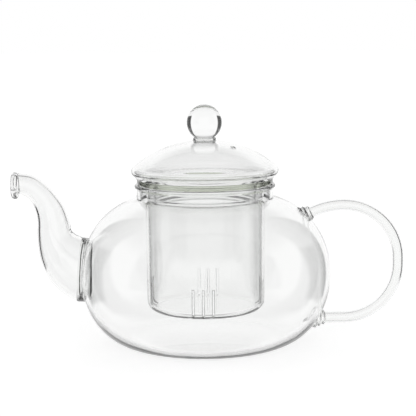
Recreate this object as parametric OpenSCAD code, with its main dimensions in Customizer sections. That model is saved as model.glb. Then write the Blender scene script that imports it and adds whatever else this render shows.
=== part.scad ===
// Borosilicate glass teapot: a blown bowl with a flame-fused spout and handle,
// a lift-out infuser cup with sawn slits, and a hollow blown lid with a ball knob.
// Millimetres, +Z up. The origin is the centre of the flat base, on the bowl's axis.
// The spout points along -X and the handle along +X.

/* [Bowl] */
// Largest outside radius of the bowl
bowl_r = 74.3; // [74:0.1:75]
// Height of the widest place above the base
belly_z = 42; // [41:0.5:43]
// Radius of the flat base
base_r = 42; // [38:0.5:46]
// Rise of the shoulder's curve above the widest place
shoulder_h = 46.2; // [45:0.1:47]
// Radius at which the shoulder's curve is centred
shoulder_r = 30; // [28:0.5:32]
// Thickness of the bowl's wall
bowl_wall = 2.0; // [1.8:0.1:2.4]
// Thickness of the bowl's floor
floor_t = 3.0; // [2.5:0.1:4]

/* [Neck and mouth] */
// Outside radius of the neck
neck_r = 40.4; // [40.2:0.1:40.8]
// Inside radius of the neck and of the mouth
mouth_bore_r = 38.2; // [37.8:0.1:38.4]
// Outside radius of the bead round the mouth
mouth_r = 41.6; // [41.2:0.1:42]
// Height of the mouth's top face
mouth_z = 95; // [94.5:0.1:95]
// Height of the mouth's bead
mouth_bead_h = 2.6; // [2:0.1:3]

/* [Spout] */
// Thickness of the spout's wall
spout_wall = 1.6; // [1.4:0.1:1.8]
// Outside radius of the ring at the spout's tip
lip_r = 7.9; // [7.4:0.1:8.2]
// Width of the ring at the spout's tip
lip_w = 3.8; // [3:0.1:4]
// Radius of the collar round the spout's root, inside the bowl
spout_weld_r = 18.4; // [18:0.1:19.2]

/* [Handle] */
// Outer diameter of the glass tube
tube_d = 6.4; // [5.8:0.1:7]
// Thickness of the tube's wall
tube_wall = 0.9; // [0.8:0.1:1.2]
// Radius of the handle's two outer bends
bend_r = 32.3; // [32:0.1:32.6]
// Radius of the flatter bend towards the upper weld
top_bend_r = 45; // [43:0.5:47]
// Radius of each weld where it spreads on the bowl
weld_foot_r = 6.0; // [5.5:0.1:6.5]
// Squeezed ribs round each weld
weld_ribs = 3; // [2:1:4]

/* [Infuser] */
// Outside radius of the cup
cup_r = 35; // [34.6:0.1:35.2]
// Thickness of the cup's wall
cup_wall = 1.8; // [1.6:0.1:2]
// Height of the cup's underside above the pot's base
cup_z = 19.5; // [18.5:0.5:22]
// Outside radius of the flange that hangs on the mouth
flange_r = 40.2; // [39.8:0.1:40.8]
// Thickness of the flange
flange_t = 3.2; // [2.8:0.1:3.4]
// Width of one sawn slit
slit_w = 0.9; // [0.7:0.1:1.2]
// Height of the slits above the cup's underside
slit_h = 18; // [12:0.5:20]
// Distance between neighbouring slits
slit_pitch = 5.8; // [5:0.1:6.5]
// Groups of slits round the cup
slit_groups = 4; // [3:1:5]
// Slits in one group
slits_per_group = 3; // [2:1:4]

/* [Lid] */
// Largest outside radius of the lid
lid_r = 43.5; // [43:0.1:43.8]
// Height of the dome's crown above the pot's base
crown_z = 121.0; // [120.6:0.1:121.4]
// Radius of the dome's sphere
dome_r = 66; // [65:0.5:68]
// Thickness of the lid's wall
lid_wall = 2.0; // [1.8:0.1:2.2]
// Radius of the lid's rounded rim
rim_round = 3.2; // [3:0.1:3.4]
// Outside radius of the skirt inside the cup
skirt_r = 31; // [30.6:0.1:31.2]
// Height of the skirt's lower edge above the pot's base
skirt_z = 83.5; // [82:0.5:86]
// Diameter of the steam vent
vent_d = 3.0; // [2.4:0.1:3.6]

/* [Knob] */
// Radius of the solid ball
ball_r = 10.5; // [10.2:0.05:10.8]
// Height of the ball's centre above the pot's base
ball_z = 131.3; // [131:0.1:131.8]
// Radius of the stem's waist
stem_r = 6.0; // [5.8:0.1:6.2]
// Radius of the stem's foot on the dome
stem_foot_r = 6.8; // [6.6:0.1:7.2]

/* [Hidden] */

round_fn = 96;      // segments of a full turn
arc_steps = 20;     // steps along one quarter of a profile
seat_gap = 0.2;     // air between two loose pieces where one rests on the other

clear_glass = [0.87, 0.91, 0.90, 0.35];
thick_glass = [0.62, 0.68, 0.62, 0.55];

neck_z = belly_z + shoulder_h * sqrt(1 - pow((neck_r - shoulder_r) / (bowl_r - shoulder_r), 2));
bead_z = mouth_z - mouth_bead_h;

// The spout's stations from its root to its tip: [x, z, tilt, outside radius].
// The tilt is the angle of the flow above the -X direction.
SPOUT = [
    [-74.7, 44.15, 4.5, 19.2],
    [-80.65, 47.35, 12.4, 18.0],
    [-85.8, 52.25, 24.3, 16.1],
    [-88.6, 58.2, 38.8, 13.7],
    [-89.7, 64.5, 53.5, 11.8],
    [-90.5, 71.0, 61.0, 10.4],
    [-91.6, 77.5, 57.0, 9.3],
    [-93.8, 83.0, 47, 8.3],
    [-97.9, 89.5, 32, 7.3],
    [-103.6, 94.4, 14, 6.6],
    [-110.4, 96.2, 0, 6.0],
];
spout_steps = 4;    // rings between two stations
spout_sides = 48;   // sides of one ring
spout_root = SPOUT[0];
spout_tip = SPOUT[len(SPOUT) - 1];
lip_bore_r = spout_tip[3] - spout_wall;
root_lip = 1.4;     // how far the collar's inside stands in from the spout's
weld_hole_r = spout_root[3] - spout_wall - root_lip;
root_reach = 20;    // how far the collar's bar and the hole run from the root plane
lip_drop = 1.4;     // how far the lip's ring hangs below the tube's centre

// The handle's centreline lies in the plane y = 0.
handle_cx = 82.2;       // x of the bends' centres
upper_bend_z = 49.4;    // height of the upper bend's centre
lower_bend_z = 46;      // height of the lower bend's centre
top_sweep = 25;         // degrees of the flatter bend
lower_root_x = 71.5;    // where the tube's lower end meets its weld
handle_top_z = upper_bend_z + bend_r;
handle_low_z = lower_bend_z - bend_r;
upper_root = [
    handle_cx - top_bend_r * sin(top_sweep),
    handle_top_z - top_bend_r * (1 - cos(top_sweep)),
];
weld_bury = 14;         // length of a weld before the bowl is taken away from it

cup_corner = 6;         // rounding of the cup's lower corner
cup_floor_t = 2.2;      // thickness of the cup's floor
groove_z = 86;          // height of the shallow groove round the cup
groove_h = 5;           // height of the groove
groove_depth = 1.1;     // depth of the groove
slit_reach = 5;         // how far a slit runs into the cup's floor
slit_turn = -2.5;       // turn of the slit groups round the axis
flange_z = mouth_z + seat_gap;
flange_top = flange_z + flange_t;

dome_cz = crown_z - dome_r;
lid_seat_z = flange_top + seat_gap;
rim_cr = lid_r - rim_round;
rim_tilt = asin(rim_cr / (dome_r - rim_round));
rim_cz = dome_cz + (dome_r - rim_round) * cos(rim_tilt);
rim_fall = 50;          // slope of the cone between the rim and the seat
vent_r = 20.3;          // distance of the vent from the axis
vent_turn = -36;        // direction of the vent, from +X towards the spectator
stem_top_z = ball_z - sqrt(ball_r * ball_r - stem_r * stem_r);
foot_h = 1.8;           // height of the stem's foot

// A point of an ellipse in the profile plane
function ellipse_point(c, a, b, t) = [c[0] + a * cos(t), c[1] + b * sin(t)];

// Points along an ellipse's arc from t0 to t1 degrees
function arc(c, a, b, t0, t1, n = arc_steps) =
    [for (i = [0:n]) ellipse_point(c, a, b, t0 + (t1 - t0) * i / n)];

// A rounded rectangle in the profile plane
function rounded_box(r0, r1, z0, z1, q, n = 8) = concat(
    arc([r1 - q, z0 + q], q, q, -90, 0, n),
    arc([r1 - q, z1 - q], q, q, 0, 90, n),
    arc([r0 + q, z1 - q], q, q, 90, 180, n),
    arc([r0 + q, z0 + q], q, q, 180, 270, n)
);

// The bowl's outer or, with t > 0, inner curve from the base's edge up to the neck's radius r
function bowl_curve(t, low_z, r) = let(
    a = bowl_r - shoulder_r - t,
    b = shoulder_h - t,
    top = acos((r - shoulder_r) / a)
) concat(
    arc([base_r, belly_z], bowl_r - base_r - t, belly_z - low_z, -90, 0),
    [for (p = arc([shoulder_r, belly_z], a, b, 0, top)) if (p[1] > belly_z) p]
);

// Everything inside the bowl's outer surface
module bowl_outside() {
    rotate_extrude($fn = round_fn)
        polygon(concat([[0, 0]], bowl_curve(0, 0, neck_r), [[neck_r, bead_z], [0, bead_z]]));
}

module bowl_inside() {
    rotate_extrude($fn = round_fn)
        polygon(concat(
            [[0, floor_t]],
            bowl_curve(bowl_wall, floor_t, mouth_bore_r),
            [[mouth_bore_r, mouth_z], [0, mouth_z]]
        ));
}

// A round bar from the spout's root plane into the bowl, square to that plane.
// It starts a length back from the plane.
module into_bowl(back, r_root, r_bowl) {
    translate([spout_root[0], 0, spout_root[1]])
        rotate([0, 90 + spout_root[2], 0])
            translate([0, 0, -back])
                cylinder(h = back + root_reach, r1 = r_root, r2 = r_bowl, $fn = round_fn);
}

// The blown bowl with its neck and the hole that the spout opens from
module bowl() {
    color(clear_glass)
        difference() {
            bowl_outside();
            bowl_inside();
            into_bowl(1, weld_hole_r, weld_hole_r);
        }
}

// The thick fire-polished bead that carries the infuser
module mouth_rim() {
    color(clear_glass)
        rotate_extrude($fn = round_fn)
            polygon(rounded_box(mouth_bore_r, mouth_r, bead_z, mouth_z, 0.9));
}

// A smooth value between the middle two of four stations
function between(p, q, r, s, t) = 0.5 * (
    2 * q + (r - p) * t + (2 * p - 5 * q + 4 * r - s) * t * t + (3 * q - p - 3 * r + s) * t * t * t
);
function station(i) = SPOUT[max(0, min(len(SPOUT) - 1, i))];
spout_rings = [
    for (i = [0:len(SPOUT) - 2]) for (k = [0:spout_steps - 1])
        between(station(i - 1), station(i), station(i + 1), station(i + 2), k / spout_steps),
    spout_tip,
];

// One ring of the spout, t inside its outer surface
function ring_points(s, t) = [
    for (k = [0:spout_sides - 1]) let(
        a = 360 * k / spout_sides,
        up = (s[3] - t) * cos(a),
        across = (s[3] - t) * sin(a)
    ) [s[0] + up * sin(s[2]), across, s[1] + up * cos(s[2])]
];

// The drawn tube: outer rings from root to tip, then inner rings back to the root
module spout() {
    rings = len(spout_rings);
    loop = [
        for (i = [0:rings - 1]) ring_points(spout_rings[i], 0),
        for (i = [rings - 1:-1:0]) ring_points(spout_rings[i], spout_wall),
    ];
    points = [for (ring = loop) for (p = ring) p];
    n = spout_sides;
    faces = [
        for (i = [0:2 * rings - 1]) for (k = [0:n - 1]) let(
            j = (i + 1) % (2 * rings),
            m = (k + 1) % n
        ) [i * n + k, j * n + k, j * n + m, i * n + m]
    ];
    color(clear_glass)
        polyhedron(points, faces, convexity = 8);
}

// The rolled ring at the spout's tip, pulled down to a pouring lip
module spout_lip() {
    lip_q = 1.5;        // rounding of the ring's edge
    color(clear_glass)
        translate([spout_tip[0], 0, spout_tip[1]])
            rotate([0, -90, 0])
                difference() {
                    translate([-lip_drop, 0, 0])
                        rotate_extrude($fn = round_fn)
                            polygon(concat(
                                [[0, 0]],
                                arc([lip_r - lip_q, lip_q], lip_q, lip_q, -90, 0, 8),
                                arc([lip_r - lip_q, lip_w - lip_q], lip_q, lip_q, 0, 90, 8),
                                [[0, lip_w]]
                            ));
                    translate([0, 0, -1])
                        cylinder(h = lip_w + 2, r = lip_bore_r, $fn = round_fn);
                }
}

// The collar of melted glass between the spout's root and the bowl
module spout_weld() {
    color(clear_glass)
        difference() {
            into_bowl(0, spout_root[3], spout_weld_r);
            into_bowl(1, weld_hole_r, weld_hole_r);
            bowl_outside();
        }
}

// The tube's round section
module tube_section() {
    difference() {
        circle(d = tube_d, $fn = 32);
        circle(d = tube_d - 2 * tube_wall, $fn = 32);
    }
}

// A stretch of the tube bent round [cx, cz], from a degrees on, measured from +X towards +Z
module tube_bend(cx, cz, r, a, sweep) {
    translate([cx, 0, cz])
        rotate([90, 0, 0])
            rotate([0, 0, a])
                rotate_extrude(angle = sweep, $fn = round_fn)
                    translate([r, 0])
                        tube_section();
}

// A straight stretch of the tube from [x, z], in the direction given by rotate()
module tube_straight(x, z, turn, length) {
    translate([x, 0, z])
        rotate([0, turn, 0])
            linear_extrude(length)
                tube_section();
}

// The handle's tube, from weld to weld; the welds close its ends
module handle() {
    color(clear_glass)
        union() {
            tube_bend(handle_cx, handle_top_z - top_bend_r, top_bend_r, 90, top_sweep);
            tube_bend(handle_cx, upper_bend_z, bend_r, 0, 90);
            tube_straight(handle_cx + bend_r, lower_bend_z, 0, upper_bend_z - lower_bend_z);
            tube_bend(handle_cx, lower_bend_z, bend_r, -90, 90);
            tube_straight(lower_root_x, handle_low_z, 90, handle_cx - lower_root_x);
        }
}

// A ribbed foot of melted glass: from the tube's end at [x, z] towards the bowl
module weld(x, z, turn) {
    reach = 7.5;        // how far along the tube's line the foot spreads
    rib = 0.7;          // how far a rib stands out
    color(clear_glass)
        difference() {
            translate([x, 0, z])
                rotate([0, turn, 0])
                    rotate_extrude($fn = 48)
                        polygon(concat(
                            [[0, 0]],
                            [for (i = [0:weld_ribs * 8]) let(
                                t = i / (weld_ribs * 8),
                                wave = rib * (1 - cos(360 * t * weld_ribs)) / 2
                            ) [tube_d / 2 + (weld_foot_r - tube_d / 2) * t + wave, reach * t]],
                            [[weld_foot_r, weld_bury], [0, weld_bury]]
                        ));
            bowl_outside();
        }
}

module handle_upper_weld() {
    weld(upper_root[0], upper_root[1], -90 - top_sweep);
}

module handle_lower_weld() {
    weld(lower_root_x, handle_low_z, -90);
}

// The cup's outline, t inside its outer surface, from the axis up to its top edge
function cup_curve(t, low_z, top_z) = concat(
    [[0, low_z]],
    arc([cup_r - cup_corner, cup_z + cup_corner], cup_corner - t, cup_z + cup_corner - low_z, -90, 0, 10),
    [for (i = [0:12]) [
        cup_r - t - groove_depth * (1 - cos(360 * i / 12)) / 2,
        groove_z - groove_h / 2 + groove_h * i / 12
    ]],
    [[cup_r - t, top_z]]
);

// The cup with its groups of sawn slits
module infuser_cup() {
    color(clear_glass)
        difference() {
            rotate_extrude($fn = round_fn)
                polygon(concat(cup_curve(0, cup_z, flange_z), [[0, flange_z]]));
            rotate_extrude($fn = round_fn)
                polygon(concat(
                    cup_curve(cup_wall, cup_z + cup_floor_t, flange_z),
                    [[0, flange_z]]
                ));
            for (g = [0:slit_groups - 1], k = [0:slits_per_group - 1])
                rotate([0, 0, slit_turn + 360 * g / slit_groups])
                    translate([
                        cup_r - slit_reach,
                        (k - (slits_per_group - 1) / 2) * slit_pitch - slit_w / 2,
                        cup_z - 1
                    ])
                        cube([slit_reach + 1, slit_w, slit_h + 1]);
        }
}

// The thick flat ring that hangs the cup on the mouth
module infuser_flange() {
    color(thick_glass)
        rotate_extrude($fn = round_fn)
            polygon(rounded_box(cup_r - cup_wall, flange_r, flange_z, flange_top, 1.2));
}

// The lid's outline, t inside its outer surface, from the crown to the seat's inner edge
function lid_curve(t, seat_z, in_r) = let(
    q = rim_round - t,
    edge = [rim_cr + q * cos(-90 + rim_fall), rim_cz + q * sin(-90 + rim_fall)],
    run = (edge[1] - seat_z) / tan(rim_fall)
) concat(
    arc([0, dome_cz], dome_r - t, dome_r - t, 90, 90 - rim_tilt),
    [for (p = arc([rim_cr, rim_cz], q, q, 90 - rim_tilt, -90 + rim_fall, 12)) if (p[0] > 0) p],
    [[edge[0] - run, seat_z], [in_r, seat_z]]
);

// The hollow blown cap: dome, rounded rim and the flat seat under it, with a steam vent
module lid_dome() {
    inner = lid_curve(lid_wall, lid_seat_z + lid_wall, skirt_r - lid_wall);
    color(clear_glass)
        difference() {
            rotate_extrude($fn = round_fn)
                polygon(concat(
                    lid_curve(0, lid_seat_z, skirt_r - lid_wall),
                    [for (i = [len(inner) - 1:-1:0]) inner[i]]
                ));
            rotate([0, 0, vent_turn])
                translate([vent_r, 0, lid_seat_z + 2 * lid_wall])
                    cylinder(h = dome_r, d = vent_d, $fn = 32);
        }
}

// The tube that centres the lid in the cup
module lid_skirt() {
    color(clear_glass)
        rotate_extrude($fn = round_fn)
            polygon(concat(
                arc([skirt_r - lid_wall / 2, skirt_z + lid_wall / 2], lid_wall / 2, lid_wall / 2, 180, 360, 12),
                [[skirt_r, lid_seat_z], [skirt_r - lid_wall, lid_seat_z]]
            ));
}

// The short waisted stem between the dome and the ball
module knob_stem() {
    sweep = asin(stem_foot_r / dome_r);
    foot_z = dome_cz + dome_r * cos(sweep);
    color(clear_glass)
        rotate_extrude($fn = round_fn)
            polygon(concat(
                arc([0, dome_cz], dome_r, dome_r, 90, 90 - sweep, 6),
                arc([stem_foot_r - 0.6, foot_z + foot_h - 0.6], 0.6, 0.6, 0, 90, 5),
                [[stem_r, stem_top_z], [0, stem_top_z]]
            ));
}

// The solid ball, flat where it is fused to the stem
module knob_ball() {
    low = -asin((ball_z - stem_top_z) / ball_r);
    color(clear_glass)
        rotate_extrude($fn = round_fn)
            polygon(concat(
                [[0, stem_top_z]],
                arc([0, ball_z], ball_r, ball_r, low, 90, 32)
            ));
}

bowl();
mouth_rim();
spout();
spout_lip();
spout_weld();
handle();
handle_upper_weld();
handle_lower_weld();
infuser_cup();
infuser_flange();
lid_dome();
lid_skirt();
knob_stem();
knob_ball();
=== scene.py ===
# %% [markdown]
# # A glass teapot with an infuser
#
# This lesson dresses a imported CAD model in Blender. The pot is three loose
# pieces of clear borosilicate glass: the pot itself with its spout and handle,
# a cup for the leaves that hangs in the mouth, and a hollow lid with a ball
# knob. Each was flame-worked from smaller pieces, and each of those becomes
# one smooth mesh here, standing for the CAD node of the same name.

# %% Load the frame
import math

import bmesh
import bpy
from mathutils import Matrix, Vector


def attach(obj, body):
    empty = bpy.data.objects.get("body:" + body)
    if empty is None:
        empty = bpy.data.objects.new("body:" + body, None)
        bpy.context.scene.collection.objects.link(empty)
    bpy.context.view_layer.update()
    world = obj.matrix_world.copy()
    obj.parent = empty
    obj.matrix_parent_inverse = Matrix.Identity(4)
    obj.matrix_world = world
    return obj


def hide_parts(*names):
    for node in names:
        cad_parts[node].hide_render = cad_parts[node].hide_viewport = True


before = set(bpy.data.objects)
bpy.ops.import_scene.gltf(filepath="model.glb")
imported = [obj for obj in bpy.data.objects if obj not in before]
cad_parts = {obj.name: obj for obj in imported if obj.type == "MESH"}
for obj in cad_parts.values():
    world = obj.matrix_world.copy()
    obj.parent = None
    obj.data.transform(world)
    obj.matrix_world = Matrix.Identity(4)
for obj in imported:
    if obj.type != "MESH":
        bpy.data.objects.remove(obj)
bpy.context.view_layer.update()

# %% [markdown]
# ## Drawing a profile
#
# Blown and lathe-turned glass is round about one axis, so most pieces start as
# a thin line: half of the piece's cross-section. Three helpers draw it. One
# starts the line, one runs it straight, and one bends it round a centre, by
# spinning its last point. A stretched bend makes an ellipse. Spinning the
# whole line round the upright axis then makes the piece.

# %% The profile helpers
MM = 0.001
ROUND_STEPS = 192
SHARP = math.radians(32)


def start_line(x, z):
    """Starts a profile at x, z in millimetres and returns the mesh and its point."""
    shape = bmesh.new()
    return shape, shape.verts.new((x * MM, 0, z * MM))


def line_to(shape, tip, x, z):
    """Runs the profile straight to x, z and returns its new end."""
    tip = bmesh.ops.extrude_vert_indiv(shape, verts=[tip])["verts"][0]
    tip.co = (x * MM, 0, z * MM)
    return tip


def bend(shape, tip, centre, sweep, steps, stretch=1.0):
    """Bends the profile round a centre by sweep degrees. stretch is the height over the width."""
    pivot = Vector((centre[0] * MM, 0, centre[1] * MM))
    tip.co.z = pivot.z + (tip.co.z - pivot.z) / stretch
    old = set(shape.verts)
    turned = bmesh.ops.spin(
        shape, geom=[tip], cent=pivot, axis=(0, -1, 0), angle=math.radians(sweep), steps=steps
    )
    for point in [tip, *(v for v in shape.verts if v not in old)]:
        point.co.z = pivot.z + (point.co.z - pivot.z) * stretch
    return turned["geom_last"][0]


def close_line(shape, first, last):
    """Joins the profile's end to its start."""
    shape.edges.new((last, first))


# %% [markdown]
# ## Turning the profile
#
# A full spin needs its last ring merged with its first, and a profile that
# touches the axis leaves a fan of points there, which are merged as well.
# Normals are recalculated after that. Edges sharper than a limit stay crisp,
# so that light doesn't smear round a rim, and the rest is shaded smooth.

# %% The spin and the finish of a mesh
def spin_round(shape, steps=ROUND_STEPS):
    """Spins the profile once round the upright axis."""
    bmesh.ops.spin(
        shape,
        geom=shape.verts[:] + shape.edges[:],
        cent=(0, 0, 0),
        axis=(0, 0, 1),
        angle=math.tau,
        steps=steps,
        use_merge=True,
    )


def finish_mesh(shape, name):
    """Merges, turns the faces outwards, marks crisp edges and makes the object."""
    bmesh.ops.remove_doubles(shape, verts=shape.verts[:], dist=0.002 * MM)
    bmesh.ops.dissolve_degenerate(shape, edges=shape.edges[:], dist=0.001 * MM)
    bmesh.ops.recalc_face_normals(shape, faces=shape.faces[:])
    for face in shape.faces:
        face.smooth = True
    for edge in shape.edges:
        edge.smooth = edge.calc_face_angle(0.0) < SHARP
    open_edges = sum(1 for edge in shape.edges if not edge.is_manifold)
    mesh = bpy.data.meshes.new(name)
    shape.to_mesh(mesh)
    shape.free()
    piece = bpy.data.objects.new(name, mesh)
    bpy.context.collection.objects.link(piece)
    print(f"{name}: {len(mesh.polygons)} faces, {open_edges} open edges")
    return piece


# %% [markdown]
# ## Cutting
#
# Saw cuts, drilled holes and feet that follow the bowl's curve are made with a
# Boolean modifier, which is applied at once. The cutter is thrown away.

# %% The cut helper
def cut(piece, cutter, operation="DIFFERENCE"):
    """Cuts one object with another and keeps the result as the piece's own mesh."""
    knife = piece.modifiers.new("cut", "BOOLEAN")
    knife.operation = operation
    knife.object = cutter
    knife.solver = "EXACT"
    graph = bpy.context.evaluated_depsgraph_get()
    mesh = bpy.data.meshes.new_from_object(piece.evaluated_get(graph))
    piece.modifiers.clear()
    old = piece.data
    name = old.name
    piece.data = mesh
    bpy.data.meshes.remove(old)
    mesh.name = name
    bpy.data.objects.remove(cutter)
    tidy = bmesh.new()
    tidy.from_mesh(mesh)
    bmesh.ops.remove_doubles(tidy, verts=tidy.verts[:], dist=0.002 * MM)
    for face in tidy.faces:
        face.smooth = True
    for edge in tidy.edges:
        edge.smooth = edge.calc_face_angle(0.0) < SHARP
    open_edges = sum(1 for edge in tidy.edges if not edge.is_manifold)
    tidy.to_mesh(mesh)
    tidy.free()
    print(f"  cut {name}: {len(mesh.polygons)} faces, {open_edges} open edges")


# %% [markdown]
# ## The glass
#
# Clear glass has almost no colour of its own. What shows is how it bends the
# light from its surroundings, so the recipe is a smooth Principled surface
# with full transmission and the index of borosilicate glass. Glass blown and
# drawn by hand is never quite even: a very weak, wide bump makes the light
# wander a little. A thick rim seen on edge is faintly olive.

# %% The glass recipes
def make_glass(name, colour, ior, wave_size, wave_depth):
    """A clear glass with a faint unevenness of that size and depth, in metres."""
    glass = bpy.data.materials.new(name)
    glass.use_nodes = True
    nodes = glass.node_tree.nodes
    links = glass.node_tree.links
    surface = nodes["Principled BSDF"]
    surface.inputs["Base Color"].default_value = (*colour, 1.0)
    surface.inputs["Transmission Weight"].default_value = 1.0
    surface.inputs["Roughness"].default_value = 0.0
    surface.inputs["IOR"].default_value = ior
    place = nodes.new("ShaderNodeTexCoord")
    waves = nodes.new("ShaderNodeTexNoise")
    waves.inputs["Scale"].default_value = 1.0 / wave_size
    waves.inputs["Detail"].default_value = 1.0
    bump = nodes.new("ShaderNodeBump")
    bump.inputs["Strength"].default_value = 1.0
    bump.inputs["Distance"].default_value = wave_depth
    links.new(place.outputs["Object"], waves.inputs["Vector"])
    links.new(waves.outputs["Fac"], bump.inputs["Height"])
    links.new(bump.outputs["Normal"], surface.inputs["Normal"])
    return glass


GLASS_IOR = 1.473
blown_glass = make_glass("blown_glass", (0.975, 0.977, 0.975), GLASS_IOR, 0.030, 0.00010)
rod_glass = make_glass("rod_glass", (0.972, 0.975, 0.972), GLASS_IOR, 0.012, 0.00002)
weld_glass = make_glass("weld_glass", (0.960, 0.964, 0.958), GLASS_IOR, 0.006, 0.00008)
rim_glass = make_glass("rim_glass", (0.62, 0.65, 0.57), GLASS_IOR, 0.020, 0.00006)
GLASSES = {
    "blown_glass": blown_glass,
    "rod_glass": rod_glass,
    "weld_glass": weld_glass,
    "rim_glass": rim_glass,
}


def wear(piece, body, slot, node):
    """Gives a piece its glass, its body, its slot, and the node that it stands for."""
    piece.data.materials.clear()
    piece.data.materials.append(GLASSES[slot])
    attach(piece, body)
    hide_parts(node)


# %% [markdown]
# ## The bowl
#
# The bowl is blown: a flat floor, a round belly and a shoulder that runs up to
# an upright neck. Its outer and inner lines are two quarter ellipses each, so
# the wall is even. The line starts at the middle of the base, goes up outside,
# over the neck's top and back down inside.
#
# Pieces fused together share a hair's breadth of glass, so that light crosses
# the joint without meeting any air.

# %% The bowl's outside and inside
FUSE = 0.03
BELLY_Z = 42.0
BASE_R = 42.0
BOWL_R = 74.3
SHOULDER_R = 30.0
SHOULDER_H = 46.2
NECK_R = 40.4
BORE_R = 38.2
WALL = 2.0
FLOOR = 3.0
NECK_TOP = 92.4


def bowl_line(shape, tip):
    """The bowl's outer line, from the base's edge to the neck."""
    low = BELLY_Z / (BOWL_R - BASE_R)
    tip = bend(shape, tip, (BASE_R, BELLY_Z), 90, 40, low)
    reach = BOWL_R - SHOULDER_R
    top = math.degrees(math.acos((NECK_R - SHOULDER_R) / reach))
    return bend(shape, tip, (SHOULDER_R, BELLY_Z), top, 48, SHOULDER_H / reach)


shape, tip = start_line(0, 0)
tip = line_to(shape, tip, BASE_R, 0)
tip = bowl_line(shape, tip)
tip = line_to(shape, tip, NECK_R, NECK_TOP)
tip = line_to(shape, tip, BORE_R, NECK_TOP)
inner_reach = BOWL_R - SHOULDER_R - WALL
inner_rise = SHOULDER_H - WALL
inner_top = math.acos((BORE_R - SHOULDER_R) / inner_reach)
tip = line_to(shape, tip, BORE_R, BELLY_Z + inner_rise * math.sin(inner_top))
tip = bend(
    shape, tip, (SHOULDER_R, BELLY_Z), -math.degrees(inner_top), 48, inner_rise / inner_reach
)
low_reach = BOWL_R - BASE_R - WALL
tip = bend(shape, tip, (BASE_R, BELLY_Z), -90, 40, (BELLY_Z - FLOOR) / low_reach)
tip = line_to(shape, tip, 0, FLOOR)
spin_round(shape)
bowl = finish_mesh(shape, "bowl")


def bowl_cutter():
    """Everything inside the bowl's outer surface, less the hair where pieces fuse."""
    shape, tip = start_line(0, 0)
    tip = line_to(shape, tip, BASE_R, 0)
    tip = bowl_line(shape, tip)
    tip = line_to(shape, tip, NECK_R, NECK_TOP)
    line_to(shape, tip, 0, NECK_TOP)
    spin_round(shape)
    cutter = finish_mesh(shape, "bowl_cutter")
    for point in cutter.data.vertices:
        point.co -= point.normal * FUSE * MM
    return cutter


# %% [markdown]
# ## Rings one after another
#
# The spout isn't round about one axis: it leaves the bowl sideways and turns
# up into a swan's neck. A tube like that is a row of rings, each with its own
# centre, tilt and radius. The first ring is a circle, and every other one is
# the ring before it, extruded and moved.

# %% The ring helpers
def ring_place(x, z, tilt, radius):
    """Where a ring goes: its centre, its radius, and its flow tilted up from -X by degrees."""
    return (
        Matrix.Translation((x * MM, 0, z * MM))
        @ Matrix.Rotation(math.radians(tilt - 90), 4, "Y")
        @ Matrix.Scale(radius * MM, 4)
    )


def thread_rings(places, sides, closed):
    """Runs a skin through rings. closed joins the last ring to the first, or else both are capped."""
    shape = bmesh.new()
    made = bmesh.ops.create_circle(
        shape, cap_ends=False, segments=sides, radius=1.0, matrix=places[0]
    )
    first = list({edge for point in made["verts"] for edge in point.link_edges})
    ring = first
    for old, new in zip(places, places[1:]):
        made = bmesh.ops.extrude_edge_only(shape, edges=ring)["geom"]
        points = [part for part in made if isinstance(part, bmesh.types.BMVert)]
        ring = [part for part in made if isinstance(part, bmesh.types.BMEdge)]
        bmesh.ops.transform(shape, matrix=new @ old.inverted(), verts=points)
    if closed:
        bmesh.ops.bridge_loops(shape, edges=first + ring)
    else:
        bmesh.ops.edgeloop_fill(shape, edges=first)
        bmesh.ops.edgeloop_fill(shape, edges=ring)
    return shape


# %% [markdown]
# ## The spout
#
# The stations along the spout are the ones that the CAD part uses. A smooth
# curve runs through them, and the rings go out along the outside and come back
# along the inside, which gives the tube its wall.

# %% The spout's tube
SPOUT = (
    (-74.7, 44.15, 4.5, 19.2),
    (-80.65, 47.35, 12.4, 18.0),
    (-85.8, 52.25, 24.3, 16.1),
    (-88.6, 58.2, 38.8, 13.7),
    (-89.7, 64.5, 53.5, 11.8),
    (-90.5, 71.0, 61.0, 10.4),
    (-91.6, 77.5, 57.0, 9.3),
    (-93.8, 83.0, 47, 8.3),
    (-97.9, 89.5, 32, 7.3),
    (-103.6, 94.4, 14, 6.6),
    (-110.4, 96.2, 0, 6.0),
)
SPOUT_WALL = 1.6
RINGS_BETWEEN = 10


def smooth_value(p, q, r, s, t):
    """A value between q and r, on the smooth curve through four stations."""
    return 0.5 * (
        2 * q
        + (r - p) * t
        + (2 * p - 5 * q + 4 * r - s) * t**2
        + (3 * q - p - 3 * r + s) * t**3
    )


def spout_rings():
    """All the rings from the root to the tip, as x, z, tilt and radius."""
    rings = []
    last = len(SPOUT) - 1
    for i in range(last):
        near = [SPOUT[max(0, min(last, i + k))] for k in (-1, 0, 1, 2)]
        for step in range(RINGS_BETWEEN):
            t = step / RINGS_BETWEEN
            rings.append([smooth_value(*(n[k] for n in near), t) for k in range(4)])
    rings.append(list(SPOUT[-1]))
    return rings


rings = spout_rings()
outside = [ring_place(x, z, tilt, r) for x, z, tilt, r in rings]
inside = [ring_place(x, z, tilt, r - SPOUT_WALL) for x, z, tilt, r in reversed(rings)]
spout = finish_mesh(thread_rings(outside + inside, 96, True), "spout")

# %% [markdown]
# ## The pouring lip
#
# The tip is folded back into a thick ring, pulled down a little so that it
# breaks the last drop. Its rings share the bore's centre on the inside and sit
# lower on the outside.

# %% The lip's ring
LIP_R = 7.9
LIP_W = 3.8
LIP_DROP = 1.4
LIP_ROUND = 1.7
LIP_INNER_ROUND = 0.8
LIP_STEP_IN = 0.1
BORE = SPOUT[-1][3] - SPOUT_WALL
TIP_X, TIP_Z = SPOUT[-1][0], SPOUT[-1][1]


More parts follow.
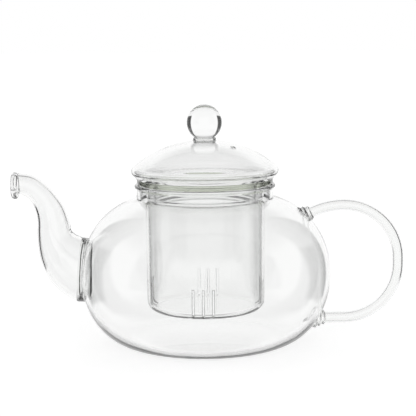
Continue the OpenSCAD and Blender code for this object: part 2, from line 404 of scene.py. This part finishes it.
def lip_places():
    """Round the ring's section: up its outer side, over the front and back along the bore."""
    places = [ring_place(TIP_X + FUSE, TIP_Z, 0, BORE)]
    places.append(ring_place(TIP_X + FUSE, TIP_Z, 0, BORE + SPOUT_WALL - LIP_STEP_IN))
    for corner, start in ((LIP_ROUND, -90), (LIP_W - LIP_ROUND, 0)):
        for step in range(11):
            turn = math.radians(start + 9 * step)
            out = LIP_R - LIP_ROUND + LIP_ROUND * math.cos(turn)
            along = corner + LIP_ROUND * math.sin(turn)
            places.append(ring_place(TIP_X - along, TIP_Z - LIP_DROP, 0, out))
    for step in range(9):
        turn = math.radians(90 + 90 * step / 8)
        out = BORE + LIP_INNER_ROUND + LIP_INNER_ROUND * math.cos(turn)
        along = LIP_W - LIP_INNER_ROUND + LIP_INNER_ROUND * math.sin(turn)
        places.append(ring_place(TIP_X - along, TIP_Z, 0, out))
    return places


spout_lip = finish_mesh(thread_rings(lip_places(), 96, True), "spout_lip")

# %% [markdown]
# ## The collar at the spout's root
#
# Where the spout was melted on, a collar of thicker glass runs from the
# spout's root to the bowl. It is a short tube, pushed on into the bowl and then
# cut off along the bowl's outer surface. The hole behind it is bored through
# the bowl with the same tube's inside.

# %% The collar and the hole
ROOT_X, ROOT_Z, ROOT_TILT, ROOT_R = SPOUT[0]
HOLE_R = 16.2
COLLAR_R = 18.4
COLLAR_REACH = 20.0
COLLAR_LIP = 1.4
COLLAR_SWELL = 4.0
HAIR = 0.02
BORE_START = 1.0


def from_root(depth, radius):
    """A ring that lies depth behind the spout's root, towards the bowl."""
    tilt = math.radians(ROOT_TILT)
    x = ROOT_X + depth * math.cos(tilt)
    z = ROOT_Z - depth * math.sin(tilt)
    return ring_place(x, z, ROOT_TILT, radius)


def bore_tool():
    """A round bar along the hole's line, to bore the bowl with."""
    return finish_mesh(
        thread_rings([from_root(-BORE_START, HOLE_R), from_root(COLLAR_REACH, HOLE_R)], 96, False),
        "bore_tool",
    )


collar_places = [from_root(-FUSE, ROOT_R - HAIR)]
for step in range(1, 11):
    part = step / 10
    collar_places.append(from_root(COLLAR_REACH * part, ROOT_R + (COLLAR_R - ROOT_R) * part))
for step in range(10, 2, -1):
    collar_places.append(from_root(COLLAR_REACH * step / 10, HOLE_R))
for step in range(4, -1, -1):
    part = step / 4
    swell = (1 + math.cos(math.pi * part)) / 2
    collar_places.append(from_root(COLLAR_SWELL * part - FUSE, HOLE_R + COLLAR_LIP * swell))
spout_weld = finish_mesh(thread_rings(collar_places, 96, True), "spout_weld")
cut(spout_weld, bowl_cutter())
cut(bowl, bore_tool())

# %% [markdown]
# ## The mouth's bead
#
# The mouth is fire-polished: the glass is melted back into a thicker bead,
# flat on top where the infuser hangs. It is spun from its own small section.

# %% The bead
MOUTH_Z = 95.0
MOUTH_R = 41.6
BEAD_ROUND = 0.9
BEAD_FLARE = 0.9
BEAD_CHAMFER = (0.2, 0.4)
shape, first = start_line(BORE_R, NECK_TOP - FUSE)
tip = line_to(shape, first, NECK_R, NECK_TOP - FUSE)
tip = line_to(shape, tip, MOUTH_R - BEAD_CHAMFER[0], NECK_TOP + BEAD_FLARE)
tip = line_to(shape, tip, MOUTH_R, NECK_TOP + BEAD_FLARE + BEAD_CHAMFER[1])
tip = line_to(shape, tip, MOUTH_R, MOUTH_Z - BEAD_ROUND)
tip = bend(shape, tip, (MOUTH_R - BEAD_ROUND, MOUTH_Z - BEAD_ROUND), 90, 10)
tip = line_to(shape, tip, BORE_R + BEAD_ROUND, MOUTH_Z)
tip = bend(shape, tip, (BORE_R + BEAD_ROUND, MOUTH_Z - BEAD_ROUND), 90, 10)
close_line(shape, first, tip)
spin_round(shape)
mouth_rim = finish_mesh(shape, "mouth_rim")

# %% [markdown]
# ## The handle
#
# The handle is one drawn tube, bent hot into a loop and closed by its welds.
# Its centreline is three bends with a short straight stretch between the last
# two, and rings go out along its outside and back along its bore, as in the
# spout.

# %% The tube
TUBE_R = 3.2
TUBE_WALL = 0.9
BEND_R = 32.3
TOP_BEND_R = 45.0
HANDLE_X = 82.2
UPPER_Z = 49.4
LOWER_Z = 46.0
TOP_SWEEP = 25.0
LOWER_ROOT_X = 71.5
HANDLE_TOP = UPPER_Z + BEND_R
HANDLE_LOW = LOWER_Z - BEND_R


def tube_stations():
    """The tube's centreline from the upper weld to the lower one, as x, z and tilt."""
    bends = (
        (HANDLE_TOP - TOP_BEND_R, TOP_BEND_R, TOP_SWEEP, 0, 16),
        (UPPER_Z, BEND_R, 0, -90, 48),
        (LOWER_Z, BEND_R, -90, -180, 48),
    )
    stations = []
    for centre_z, radius, start, end, steps in bends:
        for step in range(steps + 1):
            heading = start + (end - start) * step / steps
            turn = math.radians(heading)
            x = HANDLE_X - radius * math.sin(turn)
            z = centre_z + radius * math.cos(turn)
            stations.append((x, z, 180 - heading))
    stations.append((LOWER_ROOT_X, HANDLE_LOW, 360))
    return stations


stations = tube_stations()
upper_x, upper_z = stations[0][0], stations[0][1]
outside = [ring_place(x, z, tilt, TUBE_R) for x, z, tilt in stations]
inside = [ring_place(x, z, tilt, TUBE_R - TUBE_WALL) for x, z, tilt in reversed(stations)]
handle = finish_mesh(thread_rings(outside + inside, 64, True), "handle")

# %% [markdown]
# ## The ribbed welds
#
# The tube's ends were pressed on hot with a grooved tool, which left ribs. Each
# weld is a row of rings that swell and shrink as they widen towards the bowl,
# cut off along the bowl's surface like the collar.

# %% The two welds
WELD_FOOT = 6.0
WELD_REACH = 7.5
WELD_BURY = 14.0
RIBS = 3
RIB = 0.7
RIB_STEPS = 12


def weld(name, x, z, slant):
    """A ribbed foot from the tube's end at x, z towards the bowl, slant degrees below -X."""
    turn = math.radians(slant)
    places = []
    for i in range(RIBS * RIB_STEPS + 1):
        part = i / (RIBS * RIB_STEPS)
        wave = RIB * (1 - math.cos(math.tau * part * RIBS)) / 2
        radius = TUBE_R + (WELD_FOOT - TUBE_R) * part + wave
        along = WELD_REACH * part - (FUSE if i == 0 else 0)
        places.append((along, radius))
    places.append((WELD_BURY, WELD_FOOT))
    rings = [
        ring_place(x - d * math.cos(turn), z - d * math.sin(turn), -slant, r) for d, r in places
    ]
    piece = finish_mesh(thread_rings(rings, 72, False), name)
    cut(piece, bowl_cutter())
    return piece


upper_weld = weld("handle_upper_weld", upper_x, upper_z, TOP_SWEEP)
lower_weld = weld("handle_lower_weld", LOWER_ROOT_X, HANDLE_LOW, 0)

# %% [markdown]
# ## The infuser cup
#
# A straight-sided cup with a rounded foot. A shallow groove runs round it near
# the top. Fine slits are sawn across the foot in groups, from the floor some
# way up the wall, so that the tea gets out and the leaves don't.

# %% The cup and its slits
CUP_R = 35.0
CUP_WALL = 1.8
CUP_Z = 19.5
CUP_CORNER = 6.0
CUP_FLOOR = 2.2
FLANGE_Z = 95.2
GROOVE_Z = 86.0
GROOVE_H = 5.0
GROOVE_DEPTH = 1.1
SLIT_W = 0.9
SLIT_ROUND = 0.9
SLIT_H = 18.0
SLIT_PITCH = 5.8
SLIT_REACH = 5.0
SLIT_TURN = -2.5
SLIT_GROUPS = 4
SLITS = 3


def groove_up(shape, tip, radius, steps):
    """Runs the line up across the groove. steps is negative on the way down."""
    order = range(0, abs(steps) + 1)
    for i in order if steps > 0 else reversed(order):
        part = i / abs(steps)
        dip = GROOVE_DEPTH * (1 - math.cos(math.tau * part)) / 2
        tip = line_to(shape, tip, radius - dip, GROOVE_Z + GROOVE_H * (part - 0.5))
    return tip


shape, tip = start_line(0, CUP_Z)
tip = line_to(shape, tip, CUP_R - CUP_CORNER, CUP_Z)
tip = bend(shape, tip, (CUP_R - CUP_CORNER, CUP_Z + CUP_CORNER), 90, 24)
tip = line_to(shape, tip, CUP_R, CUP_Z + SLIT_H + 2)
tip = groove_up(shape, tip, CUP_R, 20)
tip = line_to(shape, tip, CUP_R, FLANGE_Z + FUSE)
tip = line_to(shape, tip, CUP_R - CUP_WALL, FLANGE_Z + FUSE)
tip = groove_up(shape, tip, CUP_R - CUP_WALL, -20)
tip = line_to(shape, tip, CUP_R - CUP_WALL, CUP_Z + CUP_CORNER)
inner_corner = (CUP_CORNER - CUP_FLOOR) / (CUP_CORNER - CUP_WALL)
tip = bend(shape, tip, (CUP_R - CUP_CORNER, CUP_Z + CUP_CORNER), -90, 24, inner_corner)
tip = line_to(shape, tip, 0, CUP_Z + CUP_FLOOR)
spin_round(shape)
infuser_cup = finish_mesh(shape, "infuser_cup")

# %% [markdown]
# ## Sawing the slits
#
# A saw cut melted smooth leaves a full round edge, and it is that edge that
# shows as a dark line. So the cutter is a box whose section swells at both
# faces of the wall. It is made once and copied round the cup.

# %% The saw cuts
SAW_OVERRUN = 2.0
SAW_CLEAR = 1.0
SAW_STEP = 0.05


def saw_places():
    """The cut's sections from the floor outwards. The wall is left with a full round edge."""
    low = CUP_Z - SAW_OVERRUN
    middle = CUP_R - CUP_WALL / 2
    stations = [
        (CUP_R - SLIT_REACH, 0.0),
        (middle - SAW_CLEAR - SAW_STEP, 0.0),
        (middle - SAW_CLEAR, SLIT_ROUND),
    ]
    for step in range(-6, 7):
        turn = math.radians(11 * step)
        stations.append(
            (middle + SLIT_ROUND * math.sin(turn), SLIT_ROUND * (1 - math.cos(turn)))
        )
    stations.append((middle + SAW_CLEAR, SLIT_ROUND))
    places = []
    for x, flare in stations:
        high = CUP_Z + SLIT_H + flare
        across = (SLIT_W / 2 + flare) * math.sqrt(2)
        upright = (high - low) / 2 * math.sqrt(2)
        places.append(
            Matrix.Translation((x * MM, 0, (low + high) / 2 * MM))
            @ Matrix.Diagonal((MM, across * MM, upright * MM, 1))
            @ Matrix.Rotation(math.radians(90), 4, "Y")
            @ Matrix.Rotation(math.radians(45), 4, "Z")
        )
    return places


saw = thread_rings(saw_places(), 4, False)
one_cut = bpy.data.meshes.new("one_cut")
saw.to_mesh(one_cut)
saw.free()
saws = bmesh.new()
for group in range(SLIT_GROUPS):
    turn = Matrix.Rotation(math.radians(SLIT_TURN + 360 * group / SLIT_GROUPS), 4, "Z")
    for k in range(SLITS):
        old = len(saws.verts)
        saws.from_mesh(one_cut)
        aside = Matrix.Translation((0, (k - (SLITS - 1) / 2) * SLIT_PITCH * MM, 0))
        bmesh.ops.transform(saws, matrix=turn @ aside, verts=saws.verts[:][old:])
bpy.data.meshes.remove(one_cut)
cut(infuser_cup, finish_mesh(saws, "saws"))

# %% [markdown]
# ## The flange
#
# The cup hangs by a thick flat ring. Seen on edge it is the only glass in the
# pot that is deep enough to show a colour.

# %% The flange's ring
FLANGE_R = 40.2
FLANGE_T = 3.2
FLANGE_ROUND = 1.2
shape, first = start_line(CUP_R - CUP_WALL, FLANGE_Z)
tip = line_to(shape, first, CUP_R, FLANGE_Z)
tip = line_to(shape, tip, FLANGE_R - FLANGE_ROUND, FLANGE_Z)
tip = bend(shape, tip, (FLANGE_R - FLANGE_ROUND, FLANGE_Z + FLANGE_ROUND), 90, 10)
tip = line_to(shape, tip, FLANGE_R, FLANGE_Z + FLANGE_T - FLANGE_ROUND)
tip = bend(shape, tip, (FLANGE_R - FLANGE_ROUND, FLANGE_Z + FLANGE_T - FLANGE_ROUND), 90, 10)
tip = line_to(shape, tip, CUP_R - CUP_WALL + FLANGE_ROUND, FLANGE_Z + FLANGE_T)
tip = bend(
    shape, tip, (CUP_R - CUP_WALL + FLANGE_ROUND, FLANGE_Z + FLANGE_T - FLANGE_ROUND), 90, 10
)
close_line(shape, first, tip)
spin_round(shape)
infuser_flange = finish_mesh(shape, "infuser_flange")

# %% [markdown]
# ## The lid
#
# The lid is a hollow cap: a shallow dome whose edge is folded under to a flat
# seat. Its outer line runs from the crown over the rim to the seat, and the
# inner line follows it back. A small vent lets the steam out.

# %% The dome
LID_R = 43.5
CROWN_Z = 121.0
DOME_R = 66.0
LID_WALL = 2.0
RIM_ROUND = 3.2
RIM_FALL = 50.0
SEAT_Z = 98.6
SKIRT_R = 31.0
VENT_R = 20.3
VENT_TURN = -36.0
VENT_D = 3.0
DRILL_L = 30.0
DRILL_Z = 120.0
DOME_Z = CROWN_Z - DOME_R
RIM_X = LID_R - RIM_ROUND
RIM_TILT = math.asin(RIM_X / (DOME_R - RIM_ROUND))
RIM_Z = DOME_Z + (DOME_R - RIM_ROUND) * math.cos(RIM_TILT)


def fall_to_seat(inset, seat_z):
    """Where the line leaves the rim's round, and where its fall meets the seat."""
    turn = math.radians(-90 + RIM_FALL)
    x = RIM_X + (RIM_ROUND - inset) * math.cos(turn)
    z = RIM_Z + (RIM_ROUND - inset) * math.sin(turn)
    return x - (z - seat_z) / math.tan(math.radians(RIM_FALL))


rim_sweep = 90 - math.degrees(RIM_TILT) + 90 - RIM_FALL
shape, tip = start_line(0, CROWN_Z)
tip = bend(shape, tip, (0, DOME_Z), -math.degrees(RIM_TILT), 60)
tip = bend(shape, tip, (RIM_X, RIM_Z), -rim_sweep, 28)
tip = line_to(shape, tip, fall_to_seat(0, SEAT_Z), SEAT_Z)
tip = line_to(shape, tip, SKIRT_R, SEAT_Z)
tip = line_to(shape, tip, SKIRT_R - LID_WALL, SEAT_Z)
tip = line_to(shape, tip, SKIRT_R - LID_WALL, SEAT_Z + LID_WALL)
tip = line_to(shape, tip, fall_to_seat(LID_WALL, SEAT_Z + LID_WALL), SEAT_Z + LID_WALL)
turn = math.radians(-90 + RIM_FALL)
under = RIM_ROUND - LID_WALL
tip = line_to(shape, tip, RIM_X + under * math.cos(turn), RIM_Z + under * math.sin(turn))
tip = bend(shape, tip, (RIM_X, RIM_Z), rim_sweep, 20)
tip = bend(shape, tip, (0, DOME_Z), math.degrees(RIM_TILT), 60)
spin_round(shape)
lid_dome = finish_mesh(shape, "lid_dome")

drill = bmesh.new()
bmesh.ops.create_cone(
    drill,
    cap_ends=True,
    segments=48,
    radius1=VENT_D / 2 * MM,
    radius2=VENT_D / 2 * MM,
    depth=DRILL_L * MM,
    matrix=Matrix.Rotation(math.radians(VENT_TURN), 4, "Z")
    @ Matrix.Translation((VENT_R * MM, 0, DRILL_Z * MM)),
)
cut(lid_dome, finish_mesh(drill, "drill"))

# %% [markdown]
# ## The skirt
#
# A short tube under the lid keeps it centred in the cup. On top of the lid
# sits a solid ball on a waisted stem, which comes next. A solid ball is a
# strong lens, so it shows its surroundings upside down.

# %% The skirt
SKIRT_Z = 83.5
shape, first = start_line(SKIRT_R - LID_WALL, SEAT_Z + FUSE)
tip = line_to(shape, first, SKIRT_R - LID_WALL, SKIRT_Z + LID_WALL / 2)
tip = bend(shape, tip, (SKIRT_R - LID_WALL / 2, SKIRT_Z + LID_WALL / 2), 180, 16)
tip = line_to(shape, tip, SKIRT_R, SEAT_Z + FUSE)
close_line(shape, first, tip)
spin_round(shape)
lid_skirt = finish_mesh(shape, "lid_skirt")

# %% [markdown]
# ## The knob
#
# The stem's underside follows the dome, and its top goes a hair into the ball,
# which is flat where the stem meets it.

# %% The stem and the ball
BALL_R = 10.5
BALL_Z = 131.3
STEM_R = 6.0
STEM_FOOT = 6.8
FOOT_H = 1.8
FOOT_ROUND = 0.8
stem_top = BALL_Z - math.sqrt(BALL_R**2 - STEM_R**2)
foot_turn = math.asin(STEM_FOOT / DOME_R)
foot_z = DOME_Z + DOME_R * math.cos(foot_turn)
shape, tip = start_line(0, CROWN_Z - FUSE)
tip = bend(shape, tip, (0, DOME_Z), -math.degrees(foot_turn), 8)
tip = line_to(shape, tip, STEM_FOOT, foot_z + FOOT_H - FOOT_ROUND)
tip = bend(shape, tip, (STEM_FOOT - FOOT_ROUND, foot_z + FOOT_H - FOOT_ROUND), 90, 8)
tip = line_to(shape, tip, STEM_R, stem_top + FUSE)
tip = line_to(shape, tip, 0, stem_top + FUSE)
spin_round(shape, 128)
knob_stem = finish_mesh(shape, "knob_stem")

shape, tip = start_line(0, stem_top)
tip = line_to(shape, tip, STEM_R, stem_top)
ball_start = math.degrees(math.asin((BALL_Z - stem_top) / BALL_R))
tip = bend(shape, tip, (0, BALL_Z), 90 + ball_start, 96)
spin_round(shape, 128)
knob_ball = finish_mesh(shape, "knob_ball")

# %% [markdown]
# ## Telling the frame what each piece is
#
# Each piece moves with its body, stands for its CAD node, and takes the finish
# of its slot.

# %% Bodies, nodes and slots
PIECES = (
    (bowl, "pot", "blown_glass", "bowl"),
    (mouth_rim, "pot", "blown_glass", "mouth_rim"),
    (spout, "pot", "blown_glass", "spout"),
    (spout_lip, "pot", "blown_glass", "spout_lip"),
    (spout_weld, "pot", "weld_glass", "spout_weld"),
    (handle, "pot", "rod_glass", "handle"),
    (upper_weld, "pot", "weld_glass", "handle_upper_weld"),
    (lower_weld, "pot", "weld_glass", "handle_lower_weld"),
    (infuser_cup, "infuser", "blown_glass", "infuser_cup"),
    (infuser_flange, "infuser", "rim_glass", "infuser_flange"),
    (lid_dome, "lid", "blown_glass", "lid_dome"),
    (lid_skirt, "lid", "blown_glass", "lid_skirt"),
    (knob_stem, "lid", "rod_glass", "knob_stem"),
    (knob_ball, "lid", "rod_glass", "knob_ball"),
)
for piece, body, slot, node in PIECES:
    wear(piece, body, slot, node)

# %% [markdown]
# ## The studio
#
# Glass is lit from behind: a bright ground and a bright background, with
# darkness towards both sides and overhead. The middle of the glass then stays
# clear, and its edges, which bend the light from the sides, are drawn dark.
# The darkness goes by direction only, so nothing stands behind the glass that
# could be seen through it from another side.

# %% The floor
FLOOR_HALF = 6.0
FLOOR_GAP = 0.0002
floor_shape = bmesh.new()
bmesh.ops.create_grid(floor_shape, x_segments=8, y_segments=8, size=FLOOR_HALF)
bmesh.ops.translate(floor_shape, vec=(0, 0, -FLOOR_GAP), verts=floor_shape.verts[:])
floor = finish_mesh(floor_shape, "floor")
paper = bpy.data.materials.new("paper")
paper.use_nodes = True
paper_surface = paper.node_tree.nodes["Principled BSDF"]
paper_surface.inputs["Base Color"].default_value = (0.8, 0.8, 0.8, 1.0)
paper_surface.inputs["Roughness"].default_value = 0.9
paper_surface.inputs["Specular IOR Level"].default_value = 0.0
paper_surface.inputs["Emission Color"].default_value = (1.0, 1.0, 1.0, 1.0)
paper_surface.inputs["Emission Strength"].default_value = 0.75
floor.data.materials.append(paper)
floor.visible_transmission = False
floor.visible_glossy = False

# %% [markdown]
# ## The surroundings
#
# The world's brightness is worked out from the direction alone. ACROSS, AHEAD
# and UP are that direction's three parts, and small sums turn them into the
# dark sectors beside the screen and the dark ceiling.

# %% The surroundings
BACK_LOSS = 0.97
FRONT_LOSS = 0.6
CEILING_LOSS = 0.75
GROUND_LOSS = 0.55
BESIDE_FROM = (0.56, 0.61)
BESIDE_TO = (0.97, 0.93)
HORIZON = (-0.02, 0.02)
TABLE_BEHIND = (-0.39, -0.33)
TABLE_IN_FRONT = (-0.16, -0.10)
OPEN_ABOVE = (0.88, 0.68)
CEILING_FROM = (0.45, 0.75)
GROUND_FROM = (-0.80, -0.97)
world = bpy.data.worlds.new("studio")
bpy.context.scene.world = world
world.use_nodes = True
sky = world.node_tree
background = sky.nodes["Background"]
direction = sky.nodes.new("ShaderNodeTexCoord")
parts = sky.nodes.new("ShaderNodeSeparateXYZ")
sky.links.new(direction.outputs["Generated"], parts.inputs["Vector"])
ACROSS, AHEAD, UP = (parts.outputs[axis] for axis in "XYZ")


def total(operation, *values):
    """One sum on the way from a direction to its brightness."""
    node = sky.nodes.new("ShaderNodeMath")
    node.operation = operation
    for socket, value in zip(node.inputs, values):
        if isinstance(value, (int, float)):
            socket.default_value = value
        else:
            sky.links.new(value, socket)
    return node.outputs[0]


def fade(value, start, end):
    """Goes smoothly from 0 at start to 1 at end."""
    node = sky.nodes.new("ShaderNodeMapRange")
    node.interpolation_type = "SMOOTHSTEP"
    node.inputs["From Min"].default_value = start
    node.inputs["From Max"].default_value = end
    sky.links.new(value, node.inputs["Value"])
    return node.outputs["Result"]


level = total(
    "SQRT", total("ADD", total("MULTIPLY", ACROSS, ACROSS), total("MULTIPLY", AHEAD, AHEAD))
)
sideways = total("DIVIDE", total("ABSOLUTE", ACROSS), level)
beside = total("MULTIPLY", fade(sideways, *BESIDE_FROM), fade(sideways, *BESIDE_TO))
behind = fade(AHEAD, *HORIZON)
above_table = total(
    "ADD",
    total("MULTIPLY", behind, fade(UP, *TABLE_BEHIND)),
    total("MULTIPLY", total("SUBTRACT", 1.0, behind), fade(UP, *TABLE_IN_FRONT)),
)
depth = total("ADD", FRONT_LOSS, total("MULTIPLY", behind, BACK_LOSS - FRONT_LOSS))
upright = total("MULTIPLY", above_table, fade(UP, *OPEN_ABOVE))
shade = total("MULTIPLY", total("MULTIPLY", beside, upright), depth)
ceiling = total("MULTIPLY", fade(UP, *CEILING_FROM), CEILING_LOSS)
ground = total("MULTIPLY", fade(UP, *GROUND_FROM), GROUND_LOSS)
brightness = total(
    "MULTIPLY",
    total("SUBTRACT", 1.0, shade),
    total("SUBTRACT", 1.0, total("ADD", ceiling, ground)),
)
sky.links.new(brightness, background.inputs["Strength"])
background.inputs["Color"].default_value = (1.0, 1.0, 1.0, 1.0)

# %% [markdown]
# ## The camera
#
# A long lens from a little above the mouth keeps the pot's proportions.

# %% The camera
CAMERA_PLACE = (0.0017, -0.800, 0.195)
LOOK_DOWN = 8.15
ROLL = -0.55
LENS_MM = 118.0
camera_data = bpy.data.cameras.new("camera")
camera = bpy.data.objects.new("camera", camera_data)
bpy.context.collection.objects.link(camera)
camera_data.sensor_width = 36.0
camera_data.lens = LENS_MM
camera_data.clip_start = 0.05
camera_data.clip_end = 50.0
camera.matrix_world = (
    Matrix.Translation(CAMERA_PLACE)
    @ Matrix.Rotation(math.radians(90 - LOOK_DOWN), 4, "X")
    @ Matrix.Rotation(math.radians(ROLL), 4, "Z")
)
scene = bpy.context.scene
scene.camera = camera
scene.view_settings.view_transform = "Standard"
scene.cycles.max_bounces = 32
scene.cycles.transmission_bounces = 32
scene.cycles.glossy_bounces = 12
scene.cycles.transparent_max_bounces = 16
